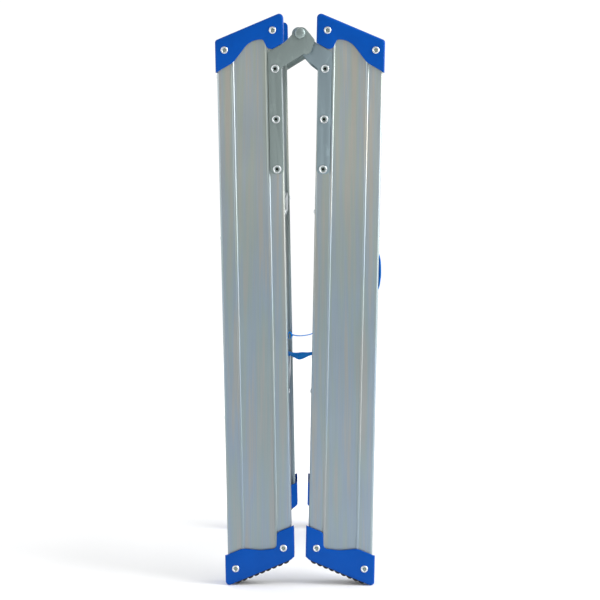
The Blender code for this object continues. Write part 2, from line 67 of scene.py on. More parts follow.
HALF_WIDTH = 0.200              # from the middle to the outer face of a rail's web
LADDER_MIDDLE = Vector((0.0, 0.0, 0.42))

RAIL_INNER = 0.0268
RAIL_OUTER = 0.1228
RAIL_TOP = 0.0278
RAIL_BOTTOM = -0.7755
RAIL_CORNER = 0.0034
WALL = 0.0022
FLANGE = 0.028
EDGE_ROUND = 0.0006
RIDGE_OFFSET = 0.023            # from either edge of the web
RIDGE_WIDTH = 0.0042
RIDGE_HEIGHT = 0.0010
PANEL_DROP = 0.0002             # of the web between its ridges

CAP_INNER = 0.0243
CAP_OUTER = 0.1247
CAP_TOP = 0.0311
CAP_FACE = HALF_WIDTH + 0.0040
CAP_BEVEL = 0.0032
LIP_BEVEL_SHARE = 0.32
POCKET_FACE = HALF_WIDTH + 0.0013
POCKET_BACK = HALF_WIDTH - FLANGE - CLEARANCE
CAP_BACK = POCKET_BACK - 0.0020
FOOT_INNER = 0.0232
FOOT_OUTER = 0.1268
FOOT_CORNER = 0.0055
FOOT_SHELL = 0.0040
FOOT_WALL_TOP = -0.7412
PAST_TOP_CAP = -0.150           # levels and a distance that are clear of the caps, to cut to
PAST_FOOT_CAP = -0.300
PAST_SIDES = 0.010
TOP_CAP_RIVETS = ((0.0402, 0.0053), (0.1112, -0.0223))
FOOT_CAP_RIVETS = ((0.0393, -0.7636), (0.1114, -0.7936))

SOLE_BOTTOM = -0.7843
FOOT_BOTTOM = SOLE_BOTTOM + 0.0028
SOLE_INNER = 0.0306
SOLE_OUTER = 0.1112
SOLE_LOBES = 9
LOBE_DROP = 0.0026

TREAD_TOPS = {"lower": SOLE_BOTTOM + 0.268, "middle": SOLE_BOTTOM + 0.536, "top": SOLE_BOTTOM + 0.775}
TREAD_RIVET_INSET = 0.013

PLATE_FACE = HALF_WIDTH + 0.0033
RIVET_P = 0.0376
RIVET_LEVELS = (-0.0508, -0.1246, -0.1978)

STRAP_EDGE = HALF_WIDTH - 0.032
STRAP_WIDTH = 0.025
STITCH_INSET = 0.0035
STITCH_PITCH = 0.0020
SEAM_RISE = 0.0009
PATH_STEPS = 8                  # from each point of a strap's line to the next
TUCKED_STEPS = 4


# ---------------------------------------------------------------- materials

def new_material(name, roughness, metallic=0.0, **sockets):
    material = bpy.data.materials.new(name)
    material.use_nodes = True
    shader = material.node_tree.nodes["Principled BSDF"]
    shader.inputs["Roughness"].default_value = roughness
    shader.inputs["Metallic"].default_value = metallic
    for socket, value in sockets.items():
        shader.inputs[socket.replace("_", " ")].default_value = value
    return material, shader


def add_node(material, kind, **values):
    """Add a node and set its inputs, by name, or its own properties."""
    node = material.node_tree.nodes.new(kind)
    for name, value in values.items():
        if name in node.inputs:
            node.inputs[name].default_value = value
        else:
            setattr(node, name, value)
    return node


def join(material, source, target):
    material.node_tree.links.new(source, target)


def stretched_noise(material, stretch, scale, detail=3.0, roughness=0.55):
    """Noise in the piece's own coordinates, drawn out along an axis by small stretch values."""
    coords = add_node(material, "ShaderNodeTexCoord")
    mapping = add_node(material, "ShaderNodeMapping")
    mapping.inputs["Scale"].default_value = stretch
    noise = add_node(material, "ShaderNodeTexNoise", Scale=scale, Detail=detail, Roughness=roughness)
    join(material, coords.outputs["Object"], mapping.inputs["Vector"])
    join(material, mapping.outputs["Vector"], noise.inputs["Vector"])
    return noise.outputs["Fac"]


def colour_ramp(material, factor, stops):
    ramp = add_node(material, "ShaderNodeValToRGB")
    elements = ramp.color_ramp.elements
    while len(elements) < len(stops):
        elements.new(0.5)
    for element, (position, colour) in zip(elements, stops):
        element.position = position
        element.color = (*colour, 1.0)
    join(material, factor, ramp.inputs["Fac"])
    return ramp.outputs["Color"]


def value_range(material, factor, low, high):
    spread = add_node(material, "ShaderNodeMapRange")
    spread.inputs["To Min"].default_value = low
    spread.inputs["To Max"].default_value = high
    join(material, factor, spread.inputs["Value"])
    return spread.outputs["Result"]


def add_bump(material, shader, height, strength, distance):
    bump = add_node(material, "ShaderNodeBump", Strength=strength, Distance=distance)
    join(material, height, bump.inputs["Height"])
    join(material, bump.outputs["Normal"], shader.inputs["Normal"])


def painted_height_shade(material):
    """Painted shade along height: a slow change of tone, warm and light above, cool and darker below."""
    coords = add_node(material, "ShaderNodeTexCoord")
    split = add_node(material, "ShaderNodeSeparateXYZ")
    join(material, coords.outputs["Object"], split.inputs["Vector"])
    return colour_ramp(material, split.outputs["Z"], ((0.15, (0.59, 0.67, 0.75)), (0.42, (0.64, 0.73, 0.79)),
                                                      (0.62, (0.86, 0.91, 0.91)), (0.78, (0.96, 1.0, 0.97))))


def extruded_aluminium(name, along, tones, roughness=(0.34, 0.52)):
    """Mill-finish extrusion: fine die lines, broad streaks of tone, dull handling marks, and painted shade
    that darkens it towards the bottom.
    """
    material, shader = new_material(name, 0.42, 0.92)
    fine_scale, broad_scale = [1.0, 1.0, 1.0], [1.0, 1.0, 1.0]
    fine_scale["xyz".index(along)] = 0.012
    broad_scale["xyz".index(along)] = 0.035
    lines = stretched_noise(material, fine_scale, 900.0, detail=4.0)
    broad = stretched_noise(material, broad_scale, 70.0, detail=2.5, roughness=0.65)
    slow = stretched_noise(material, (1.0, 1.0, 1.0), 5.0, detail=2.0)
    stops = [(0.36 + 0.28 * number / (len(tones) - 1), tone) for number, tone in enumerate(tones)]
    tone = colour_ramp(material, broad, stops)
    streak = colour_ramp(material, lines, ((0.25, (0.86,) * 3), (0.75, (1.0,) * 3)))
    wear = colour_ramp(material, slow, ((0.35, (0.93,) * 3), (0.65, (1.0,) * 3)))
    # the last layer is painted shade: darker and cooler towards the bottom of the bar
    for layer, factor in ((streak, 0.70), (wear, 0.80), (painted_height_shade(material), 1.0)):
        mix = add_node(material, "ShaderNodeMix", data_type="RGBA", blend_type="MULTIPLY")
        mix.inputs["Factor"].default_value = factor
        join(material, tone, mix.inputs["A"])
        join(material, layer, mix.inputs["B"])
        tone = mix.outputs["Result"]
    join(material, tone, shader.inputs["Base Color"])
    join(material, value_range(material, lines, *roughness), shader.inputs["Roughness"])
    add_bump(material, shader, lines, 0.25, 0.0002)
    return material


def moulded_plastic(name, colour, shade):
    """Satin moulded plastic with a fine spark-eroded grain."""
    material, shader = new_material(name, 0.42, 0.0, Specular_IOR_Level=0.12)
    cloud = stretched_noise(material, (1.0, 1.0, 1.0), 28.0, detail=3.0)
    join(material, colour_ramp(material, cloud, ((0.35, shade), (0.65, colour))),
         shader.inputs["Base Color"])
    grain = stretched_noise(material, (1.0, 1.0, 1.0), 2400.0, detail=2.0)
    join(material, value_range(material, cloud, 0.28, 0.38), shader.inputs["Roughness"])
    add_bump(material, shader, grain, 0.18, 0.0001)
    return material


def zinc_plate(name, cast):
    """Dull zinc plating: a faint spangle and a passivated cast of colour. The cast given to the right half's
    plates is bluer and lighter: painted light.
    """
    material, shader = new_material(name, 0.48, 0.85)
    cloud = stretched_noise(material, (1.0, 1.0, 0.6), 55.0, detail=5.0)
    fine = stretched_noise(material, (1.0, 1.0, 1.0), 700.0, detail=3.0)
    stops = [(0.22 + 0.5 * shade, [shade * channel for channel in cast]) for shade in (0.78, 0.92, 1.06)]
    join(material, colour_ramp(material, cloud, stops), shader.inputs["Base Color"])
    join(material, value_range(material, fine, 0.40, 0.58), shader.inputs["Roughness"])
    add_bump(material, shader, fine, 0.15, 0.0001)
    return material


def bright_rivet():
    material, shader = new_material("rivet_aluminium_bright", 0.25, 0.95)
    cloud = stretched_noise(material, (1.0, 1.0, 1.0), 400.0, detail=3.0)
    join(material, colour_ramp(material, cloud, ((0.3, (0.62, 0.65, 0.66)), (0.7, (0.80, 0.84, 0.86)))),
         shader.inputs["Base Color"])
    join(material, value_range(material, cloud, 0.20, 0.36), shader.inputs["Roughness"])
    return material


# Dark speckled metal: the cap rivets' own steel stems, and the painted shade inside the plate rivets' mouths.
def stem_steel_and_hole_shade(name, dark, light):
    material, shader = new_material(name, 0.5, 0.7)
    cloud = stretched_noise(material, (1.0, 1.0, 1.0), 600.0)
    join(material, colour_ramp(material, cloud, ((0.3, dark), (0.7, light))), shader.inputs["Base Color"])
    return material


def webbing():
    """Woven polyester: ribs along the strap, crossed by the weft, from the strap's own map."""
    material, shader = new_material("webbing_blue", 0.78, 0.0, Specular_IOR_Level=0.08)
    coords = add_node(material, "ShaderNodeUVMap", uv_map="weave")
    heights = []
    for direction, scale in (("Y", 330.0), ("X", 520.0)):
        wave = add_node(material, "ShaderNodeTexWave", Scale=scale, Distortion=0.6, bands_direction=direction)
        wave.inputs["Detail Scale"].default_value = 3.0
        join(material, coords.outputs["UV"], wave.inputs["Vector"])
        heights.append(wave.outputs["Fac"])
    cross = add_node(material, "ShaderNodeMath", operation="MULTIPLY")
    for height, socket in zip(heights, cross.inputs):
        join(material, height, socket)
    cloud = stretched_noise(material, (1.0, 1.0, 1.0), 90.0)
    shade = add_node(material, "ShaderNodeMath", operation="MULTIPLY_ADD")
    shade.inputs[1].default_value = 0.6
    join(material, cross.outputs["Value"], shade.inputs[0])
    join(material, value_range(material, cloud, 0.0, 0.4), shade.inputs[2])
    stops = ((0.05, (0.000, 0.190, 0.680)), (0.45, (0.000, 0.300, 0.920)), (0.9, (0.006, 0.370, 1.000)))
    join(material, colour_ramp(material, shade.outputs["Value"], stops), shader.inputs["Base Color"])
    add_bump(material, shader, cross.outputs["Value"], 0.5, 0.0004)
    return material


def sewing_thread():
    material, shader = new_material("thread_pale_blue", 0.6, 0.0, Specular_IOR_Level=0.4)
    twist = stretched_noise(material, (1.0, 1.0, 1.0), 1800.0)
    stops = ((0.3, (0.16, 0.30, 0.52)), (0.7, (0.34, 0.48, 0.68)))
    join(material, colour_ramp(material, twist, stops), shader.inputs["Base Color"])
    add_bump(material, shader, twist, 0.4, 0.0002)
    return material


def sole_rubber():
    material, shader = new_material("sole_rubber_black", 0.75, 0.0, Specular_IOR_Level=0.35)
    cloud = stretched_noise(material, (1.0, 1.0, 1.0), 60.0, detail=4.0)
    join(material, colour_ramp(material, cloud, ((0.3, (0.008, 0.008, 0.009)), (0.7, (0.020, 0.020, 0.023)))),
         shader.inputs["Base Color"])
    grain = stretched_noise(material, (1.0, 1.0, 1.0), 1500.0)
    add_bump(material, shader, grain, 0.25, 0.0002)
    return material


BEIGE, GREENISH, BLUISH = (0.590, 0.560, 0.510), (0.520, 0.565, 0.530), (0.500, 0.550, 0.600)
MATERIALS = {
    "rail": extruded_aluminium("rail_extrusion", "z", (BEIGE, GREENISH, BLUISH, BEIGE)),
    # painted highlight: the ridges' own darker, rougher tint, set to turn the lamp's glint on them into a
    # soft band
    "ridge": extruded_aluminium("rail_ridge_painted_highlight", "z", ((0.44, 0.47, 0.48), (0.48, 0.52, 0.55)),
                                (0.76, 0.90)),
    "tread": extruded_aluminium("tread_extrusion", "y", ((0.56, 0.575, 0.58), (0.63, 0.64, 0.645))),
    "plastic": moulded_plastic("cap_plastic_blue", (0.000, 0.074, 0.395), (0.000, 0.067, 0.360)),
    "zinc": zinc_plate("zinc_passivated", (0.345, 0.420, 0.410)),
    # painted light: the right half's plates get a bluer, lighter copy of the same zinc
    "zinc_right_painted_light": zinc_plate("zinc_passivated_right_painted_light", (0.355, 0.455, 0.500)),
    "rivet": bright_rivet(),
    "stem": stem_steel_and_hole_shade("rivet_stem_steel", (0.20, 0.25, 0.22), (0.30, 0.36, 0.33)),
    # painted shade: near black for the shadow inside the plate rivets' mouths
    "mouth": stem_steel_and_hole_shade("rivet_mouth_painted_shade", (0.010, 0.010, 0.010), (0.025, 0.025, 0.022)),
    "rubber": sole_rubber(),
    "webbing": webbing(),
    "thread": sewing_thread(),
}


# ---------------------------------------------------------------- mesh helpers

def end_line(p, level):
    return level - (p - RAIL_INNER) * math.tan(END_CUT)


def half_frame(side):
    """From a half's own frame to the folded ladder."""
    return Matrix.Translation(PIN) @ Matrix.Rotation(side * LEAN, 4, "Y")


def rounded(corners, steps=8):
    """A closed outline from (p, q) or (p, q, radius) corners, its rounded corners as arcs."""
    outline = []
    count = len(corners)
    for index, corner in enumerate(corners):
        point = Vector(corner[:2])
        radius = corner[2] if len(corner) == 3 else 0.0
        if radius == 0.0:
            outline.append(point)
            continue
        before = (Vector(corners[index - 1][:2]) - point).normalized()
        after = (Vector(corners[(index + 1) % count][:2]) - point).normalized()
        half_angle = before.angle(after) / 2
        centre = point + (before + after).normalized() * radius / math.sin(half_angle)
        start = point + before * radius / math.tan(half_angle) - centre
        turn = start.angle_signed(point + after * radius / math.tan(half_angle) - centre)
        for step in range(steps + 1):
            outline.append(centre + Matrix.Rotation(-turn * step / steps, 2) @ start)
    return outline


def slab(outline, y_from, y_to):
    """A flat outline in (p, q) made into a closed slab between two depths."""
    work = bmesh.new()
    face = work.faces.new([work.verts.new((p, y_from, q)) for p, q in outline])
    grown = bmesh.ops.extrude_face_region(work, geom=[face])
    moved = [item for item in grown["geom"] if isinstance(item, bmesh.types.BMVert)]
    bmesh.ops.translate(work, vec=(0, y_to - y_from, 0), verts=moved)
    bmesh.ops.recalc_face_normals(work, faces=work.faces)
    return work


def to_mesh(work, name):
    mesh = bpy.data.meshes.new(name)
    work.to_mesh(mesh)
    work.free()
    return mesh


def in_place(work, side):
    """Turn a piece drawn with p along +X into one half of the folded ladder."""
    mirror = Matrix.Scale(side, 4, (1, 0, 0))
    bmesh.ops.transform(work, matrix=half_frame(side) @ mirror, verts=work.verts)
    bmesh.ops.recalc_face_normals(work, faces=work.faces)


def bake_modifiers(piece):
    """Replace a piece's mesh with its evaluated mesh, and drop its modifiers."""
    bpy.context.view_layer.update()
    evaluated = piece.evaluated_get(bpy.context.evaluated_depsgraph_get())
    final = bpy.data.meshes.new_from_object(evaluated)
    piece.modifiers.clear()
    piece.data = final


def add_bevel(piece, width, segments=3, by_weight=False):
    """Bevel a piece's edges: all that turn by more than 30 degrees, or those with a weight."""
    bevel = piece.modifiers.new("edges", "BEVEL")
    bevel.width = width
    bevel.segments = segments
    bevel.limit_method = "WEIGHT" if by_weight else "ANGLE"
    bevel.angle_limit = math.radians(30.0)
    bevel.use_clamp_overlap = not by_weight
    bevel.miter_outer = "MITER_SHARP" if by_weight else "MITER_ARC"


def show(name, mesh, material, body, *replaced):
    """Put a finished mesh in the scene, riding on a body and standing for CAD nodes."""
    piece = bpy.data.objects.new(name, mesh)
    bpy.context.scene.collection.objects.link(piece)
    mesh.materials.clear()
    mesh.materials.append(material)
    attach(piece, body)
    if replaced:
        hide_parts(*replaced)
    return piece


def dress(node, material):
    """Give a CAD node that is shown as it is a finished material."""
    frame["nodes"][node].data.materials.clear()
    frame["nodes"][node].data.materials.append(material)


def smooth(piece, angle=35.0):
    piece.data.shade_smooth()
    piece.data.set_sharp_from_angle(angle=math.radians(angle))


def refined(node, name, material, body, width, segments=3):
    """A CAD node's own shape with its flat faces made whole and its edges softened."""
    work = bmesh.new()
    work.from_mesh(frame["nodes"][node].data)
    bmesh.ops.remove_doubles(work, verts=work.verts, dist=1e-6)
    bmesh.ops.dissolve_limit(work, angle_limit=math.radians(0.4), verts=work.verts, edges=work.edges)
    piece = show(name, to_mesh(work, name), material, body, node)
    add_bevel(piece, width, segments)
    bake_modifiers(piece)
    smooth(piece)
    return piece


def turned(profile, depth, segments=40):
    """A turned shape on an axis along Y. profile is (radius, distance out from the middle)."""
    work = bmesh.new()
    verts = [work.verts.new((radius, depth * out, 0.0)) for radius, out in profile]
    edges = [work.edges.new(pair) for pair in zip(verts, verts[1:])]
    bmesh.ops.spin(work, geom=verts + edges, cent=(0, 0, 0), axis=(0, 1, 0),
                   angle=math.tau, steps=segments, use_merge=True)
    bmesh.ops.remove_doubles(work, verts=work.verts, dist=1e-6)
    bmesh.ops.recalc_face_normals(work, faces=work.faces)
    return work


# ---------------------------------------------------------------- rails and caps

def make_rail(side_name, side, depth_name, depth):
    """A C-channel with two ridges along its web, cut at a slant at both ends. The ridges' faces take their
    own tint and roughness, a painted highlight set to shape the lamp's glint there into a soft band.
    """
    face = depth * HALF_WIDTH
    back = face - depth * WALL
    lip = face - depth * FLANGE
    ridge = face + depth * RIDGE_HEIGHT
    panel = face - depth * PANEL_DROP
    section = [(RAIL_INNER, lip, EDGE_ROUND), (RAIL_INNER, face, RAIL_CORNER)]
    ridges = ((RAIL_INNER + RIDGE_OFFSET, face, panel), (RAIL_OUTER - RIDGE_OFFSET, panel, face))
    for centre, before, after in ridges:
        section += [(centre - RIDGE_WIDTH / 2, before, 0.0004), (centre - RIDGE_WIDTH / 4, ridge, 0.0011),
                    (centre + RIDGE_WIDTH / 4, ridge, 0.0011), (centre + RIDGE_WIDTH / 2, after, 0.0004)]
    section += [(RAIL_OUTER, face, RAIL_CORNER), (RAIL_OUTER, lip, EDGE_ROUND),
                (RAIL_OUTER - WALL, lip, EDGE_ROUND), (RAIL_OUTER - WALL, back, 2 * EDGE_ROUND),
                (RAIL_INNER + WALL, back, 2 * EDGE_ROUND), (RAIL_INNER + WALL, lip, EDGE_ROUND)]
    outline = rounded(section, steps=5)
    work = bmesh.new()
    rings = [[work.verts.new((p, y, end_line(p, level))) for p, y in outline]
             for level in (RAIL_BOTTOM, RAIL_TOP)]
    low, high = rings
    for index in range(len(outline)):
        after = (index + 1) % len(outline)
        side_face = work.faces.new((low[index], low[after], high[after], high[index]))
        middle = (outline[index] + outline[after]) / 2
        # faces on a ridge get the painted highlight tint
        painted_highlight_face = min(abs(middle.x - centre) for centre, *_ in ridges) < RIDGE_WIDTH / 2 + 0.2 * MM
        side_face.material_index = int(painted_highlight_face and depth * middle.y > HALF_WIDTH - MM)
    for ring in rings:
        work.faces.new(ring)
    in_place(work, side)
    name = f"rail_{side_name}_{depth_name}"
    rail = show(name + "_shaped", to_mesh(work, name), MATERIALS["rail"], side_name + "_half", name)
    rail.data.materials.append(MATERIALS["ridge"])
    smooth(rail)


def top_cap_outline():
    return rounded([
        (CAP_INNER, end_line(CAP_INNER, CAP_TOP), 0.0060),
        (CAP_OUTER, end_line(CAP_OUTER, CAP_TOP), 0.0048),
        (CAP_OUTER, -0.0553),
        (0.0985, -0.0406, 0.0200),
        (0.0727, -0.0079, 0.0300),
        (0.0542, -0.0079, 0.0046),
        (0.0468, -0.0255, 0.0085),
        (CAP_INNER, -0.0133)])


def foot_cap_outline():
    return rounded([
        (FOOT_INNER, end_line(FOOT_INNER, FOOT_BOTTOM) + FOOT_CORNER / 2, 0.0018),
        (FOOT_INNER + FOOT_CORNER, end_line(FOOT_INNER + FOOT_CORNER, FOOT_BOTTOM), 0.0018),
        (FOOT_OUTER, end_line(FOOT_OUTER, FOOT_BOTTOM), 0.0055),
        (FOOT_OUTER, -0.7737),
        (0.1000, -0.7635, 0.0200),
        (0.0740, -0.7667, 0.0400),
        (0.0500, -0.7643, 0.0070),
        (0.0487, -0.7400, 0.0060),
        (FOOT_INNER, -0.7299)])


def sloped_block(inner, outer, low, high):
    """An outline whose lower and upper sides, at the levels low and high, follow the end cuts."""
    return [(inner, end_line(inner, low)), (outer, end_line(outer, low)),
            (outer, end_line(outer, high)), (inner, end_line(inner, high))]


def soften_cap(mesh, depth, inner, outer, level):
    """Weight a cap's front edges: full along its sides and end, thin along its shaped lip."""
    weights = mesh.attributes.new("bevel_weight_edge", "FLOAT", "EDGE")
    for edge in mesh.edges:
        ends = [mesh.vertices[index].co for index in edge.vertices]
        if min(depth * end.y for end in ends) < CAP_FACE - MM:
            continue
        middle = (ends[0] + ends[1]) / 2
        on_side = middle.x < inner + 6 * MM or middle.x > outer - 6 * MM
        on_end = abs(middle.z - end_line(middle.x, level)) < 7 * MM
        weights.data[edge.index].value = 1.0 if on_side or on_end else LIP_BEVEL_SHARE


def hollow_out(cap, name, outlines):
    """Cut straight-sided hollows, each an outline between two depths, out of a cap."""
    tools = []
    for number, (outline, y_from, y_to) in enumerate(outlines):
        tool_name = f"{name}_tool_{number}"
        tool = bpy.data.objects.new(tool_name, to_mesh(slab(outline, y_from, y_to), tool_name))
        bpy.context.scene.collection.objects.link(tool)
        hollow = cap.modifiers.new(tool_name, "BOOLEAN")
        hollow.operation = "DIFFERENCE"
        hollow.object = tool
        tools.append(tool)
    bake_modifiers(cap)
    for tool in tools:
        bpy.data.objects.remove(tool, do_unlink=True)


def make_cap(kind, side_name, side, depth_name, depth, outline, inner, outer, level, outlines):
    name = f"{kind}_cap_{side_name}_{depth_name}"
    mesh = to_mesh(slab(outline, depth * CAP_FACE, depth * CAP_BACK), name)
    soften_cap(mesh, depth, inner, outer, level)
    cap = show(name + "_moulded", mesh, MATERIALS["plastic"], side_name + "_half", name)
    add_bevel(cap, CAP_BEVEL, segments=5, by_weight=True)
    hollow_out(cap, name, outlines)
    work = bmesh.new()
    work.from_mesh(cap.data)
    in_place(work, side)
    work.to_mesh(cap.data)
    work.free()
    smooth(cap, 40.0)


def make_caps(side_name, side, depth_name, depth):
    near, far = RAIL_INNER - CLEARANCE, RAIL_OUTER + CLEARANCE
    top_pocket = (sloped_block(near, far, PAST_TOP_CAP, RAIL_TOP + CLEARANCE),
                  depth * POCKET_FACE, depth * POCKET_BACK)
    tread_notch = (sloped_block(RAIL_INNER + WALL, RAIL_OUTER - WALL, PAST_TOP_CAP,
                                TREAD_TOPS["top"] + CLEARANCE),
                   depth * (POCKET_BACK + PAST_SIDES), depth * (CAP_BACK - PAST_SIDES))
    foot_pocket = (sloped_block(near, far, RAIL_BOTTOM - CLEARANCE, PAST_FOOT_CAP),
                   depth * POCKET_FACE, depth * POCKET_BACK)
    foot_shoulder = (sloped_block(FOOT_INNER - PAST_SIDES, FOOT_OUTER + PAST_SIDES, FOOT_WALL_TOP,
                                  PAST_FOOT_CAP),
                     depth * (CAP_FACE - FOOT_SHELL), depth * (CAP_BACK - PAST_SIDES))
    make_cap("top", side_name, side, depth_name, depth, top_cap_outline(), CAP_INNER, CAP_OUTER, CAP_TOP,
             [top_pocket, tread_notch])
    make_cap("foot", side_name, side, depth_name, depth, foot_cap_outline(), FOOT_INNER, FOOT_OUTER,
             FOOT_BOTTOM, [foot_pocket, foot_shoulder])
    for kind, places in (("top", TOP_CAP_RIVETS), ("foot", FOOT_CAP_RIVETS)):
        for number, (p, q) in enumerate(places):
            make_cap_rivet(f"{kind}_cap_rivet_{side_name}_{depth_name}_{number + 1}", side_name, side,
                           depth, p, q)


def make_cap_rivet(name, side_name, side, depth, p, q):
    """A bright domed blind rivet with its steel stem sunk in the middle."""
    base = CAP_FACE - 0.5 * MM
    ring = [(0.0054, base), (0.0054, base + 0.0007), (0.0051, base + 0.0012), (0.0045, base + 0.0017),
            (0.0038, base + 0.0019), (0.0031, base + 0.0016), (0.0027, base + 0.0010),
            (0.0026, base + 0.0003), (0.0026, base), (0.0054, base)]
    stem = [(0.0, base), (0.0025, base), (0.0025, base + 0.0006), (0.0020, base + 0.0009),
            (0.0, base + 0.0010)]
    for part_name, profile, material in ((name, ring, "rivet"), (name + "_stem", stem, "stem")):
        work = turned(profile, depth, 32)
        bmesh.ops.translate(work, vec=(p, 0, q), verts=work.verts)
        in_place(work, side)
        piece = show(part_name, to_mesh(work, part_name), MATERIALS[material], side_name + "_half")
        smooth(piece, 50.0)


def make_sole(side_name, side, depth_name, depth):
    """The rubber pad under a foot cap, with rounded lobes across it."""
    inset, tuck, steps = 0.0016, 0.0017, 12
    pitch = (SOLE_OUTER - SOLE_INNER) / SOLE_LOBES
    outline = [(SOLE_INNER, end_line(SOLE_INNER, FOOT_BOTTOM) + tuck)]
    for step in range(SOLE_LOBES * steps + 1):
        p = SOLE_INNER + pitch * step / steps
        phase = (step % steps) / steps
        drop = LOBE_DROP * math.sin(math.pi * phase) ** 0.7 if phase else 0.0
        outline.append((p, end_line(p, FOOT_BOTTOM) - drop))
    outline.append((SOLE_OUTER, end_line(SOLE_OUTER, FOOT_BOTTOM) + tuck))
    work = slab(outline, depth * (CAP_FACE - inset), depth * (CAP_BACK + inset))
    in_place(work, side)
    name = f"sole_{side_name}_{depth_name}"
    sole = show(name + "_moulded", to_mesh(work, name), MATERIALS["rubber"], side_name + "_half", name)
    smooth(sole, 45.0)


# ---------------------------------------------------------------- hinge

def make_hinge_plate(side_name, depth_name):
    node = f"hinge_plate_{side_name}_{depth_name}"
    # the right half's bluer, lighter zinc copy is painted light
    material = MATERIALS["zinc" if side_name == "left" else "zinc_right_painted_light"]
    plate = refined(node, node + "_pressed", material, side_name + "_half", 0.0006)


def make_plate_rivets(side_name, side, depth_name, depth):
    """Blind rivets: a thin bright rolled rim, a dull dished face and a mouth painted near black, as painted
    shade for a deep hole.
    """
    front = PLATE_FACE + 0.3 * MM
    rim = [(0.0038, front), (0.0039, front + 0.0006), (0.0044, front + 0.0011), (0.0051, front + 0.0014),
           (0.0057, front + 0.0012), (0.0060, front + 0.0007), (0.0061, front), (0.0038, front)]
    dish = [(0.0019, front - 0.0020), (0.0040, front - 0.0001), (0.0040, front + 0.0006),
            (0.0032, front + 0.0002), (0.0024, front + 0.0003), (0.0020, front - 0.0001),
            (0.0019, front - 0.0020)]
    mouth = [(0.0, front - 0.0022), (0.0018, front - 0.0022), (0.0018, front - 0.0010),
             (0.0009, front - 0.0008), (0.0, front - 0.0008)]
    # the mouth is painted near black: painted shade of a deep hole
    layers = (("_rim", rim, "rivet", "rivet_aluminium"), ("_dish", dish, "zinc", "zinc_steel"),
              ("_mouth", mouth, "mouth", "zinc_steel"))
    for number, level in enumerate(RIVET_LEVELS):
        name = f"plate_rivet_{side_name}_{depth_name}_{number + 1}"
        for suffix, profile, material, finish in layers:
            work = turned(profile, depth, 36)
            bmesh.ops.translate(work, vec=(RIVET_P, 0, level), verts=work.verts)
            in_place(work, side)
            replaced = (name,) if suffix == "_rim" else ()
            piece = show(name + suffix, to_mesh(work, name), MATERIALS[material], side_name + "_half",
                         *replaced)
            smooth(piece, 50.0)


def make_hinge_pin(depth_name, depth):
    front = HALF_WIDTH + 0.0036
    tail = HALF_WIDTH - 0.0052
    radius, shank, height = 0.0080, 0.0040, 0.0042
    profile = [(0.0, tail - 0.0022), (0.0062, tail - 0.0022), (0.0066, tail - 0.0018),
               (0.0068, tail - 0.0012), (0.0068, tail), (shank, tail), (shank, front), (radius, front),
               (radius, front + 0.0010)]
    steps = 10
    for step in range(1, steps + 1):
        angle = math.pi / 2 * step / steps
        profile.append((radius * math.cos(angle) if step < steps else 0.0,
                        front + 0.0010 + (height - 0.0010) * math.sin(angle)))
    work = turned(profile, depth, 48)
    bmesh.ops.translate(work, vec=PIN, verts=work.verts)
    name = f"hinge_pin_{depth_name}"
    pin = show(name + "_domed", to_mesh(work, name), MATERIALS["zinc"], "left_half", name)
    smooth(pin, 50.0)
    dress(f"hinge_washer_{depth_name}", MATERIALS["zinc"])


# ---------------------------------------------------------------- treads

def make_tread(side_name, level_name):
    node = f"tread_{side_name}_{level_name}"
    tread = refined(node, node + "_extruded", MATERIALS["tread"], side_name + "_half", 0.0004, 2)


def make_tread_rivets(side_name, side):
    """Domed rivets through the rail's flanges into the tread skirts."""
    profile = [(0.0036, 0.0), (0.0036, 0.0004), (0.0032, 0.0010), (0.0022, 0.0014), (0.0, 0.0016)]
    rivets = bmesh.new()
    for level in TREAD_TOPS.values():
        for p, outward in ((RAIL_INNER, -1), (RAIL_OUTER, 1)):
            for depth in DEPTHS.values():
                rivet = turned(profile, 1, 24)
                turn = Matrix.Rotation(math.radians(-90 * outward), 4, "Z")
                q = end_line(p, level) - TREAD_RIVET_INSET
                place = Matrix.Translation((p, depth * (HALF_WIDTH - TREAD_RIVET_INSET), q)) @ turn
                bmesh.ops.transform(rivet, matrix=place, verts=rivet.verts)
                single = to_mesh(rivet, "rivet")
                rivets.from_mesh(single)
                bpy.data.meshes.remove(single)
    in_place(rivets, side)
    name = f"tread_rivets_{side_name}"
    piece = show(name, to_mesh(rivets, name), MATERIALS["rivet"], side_name + "_half")
    smooth(piece, 50.0)


# ---------------------------------------------------------------- straps

def smooth_path(points):
    """A Catmull-Rom curve through points, ending on the first and last of them."""
    spots = [Vector(point) for point in points]
    spots = [2 * spots[0] - spots[1]] + spots + [2 * spots[-1] - spots[-2]]
    path = []
    for before, start, end, after in zip(spots, spots[1:], spots[2:], spots[3:]):
        for step in range(PATH_STEPS):
            t = step / PATH_STEPS
            path.append(0.5 * (2 * start + (end - before) * t
                               + (2 * before - 5 * start + 4 * end - after) * t ** 2
                               + (3 * start - before - 3 * end + after) * t ** 3))
    return path + [spots[-2]]


def across_path(path, index):
    """The direction of a path at one of its points, and the direction square to it."""
    tangent = (path[min(index + 1, len(path) - 1)] - path[max(index - 1, 0)]).normalized()
    return tangent, Vector((-tangent.y, tangent.x))


def near_edge(depth):
    return -STRAP_EDGE if depth < 0 else STRAP_EDGE - STRAP_WIDTH


def edge_lift(depth, x, v):
    """How far a strap's twist lifts it, v across from its near edge, where it crosses the gap."""
    if depth < 0:
        tilt = -0.0070 * math.exp(-(x / 0.010) ** 2)
    else:
        tilt = 0.0031 * math.exp(-(x / 0.030) ** 4)
    return tilt * (0.5 - v / STRAP_WIDTH)


def edge_swing(x, v):
    """How far a strap swings in, v across from its near edge, at the outer end of the slack loop."""
    reach = min(max((x - 0.100) / 0.020, 0.0), 1.0)
    return 0.0030 * reach * reach * v / STRAP_WIDTH


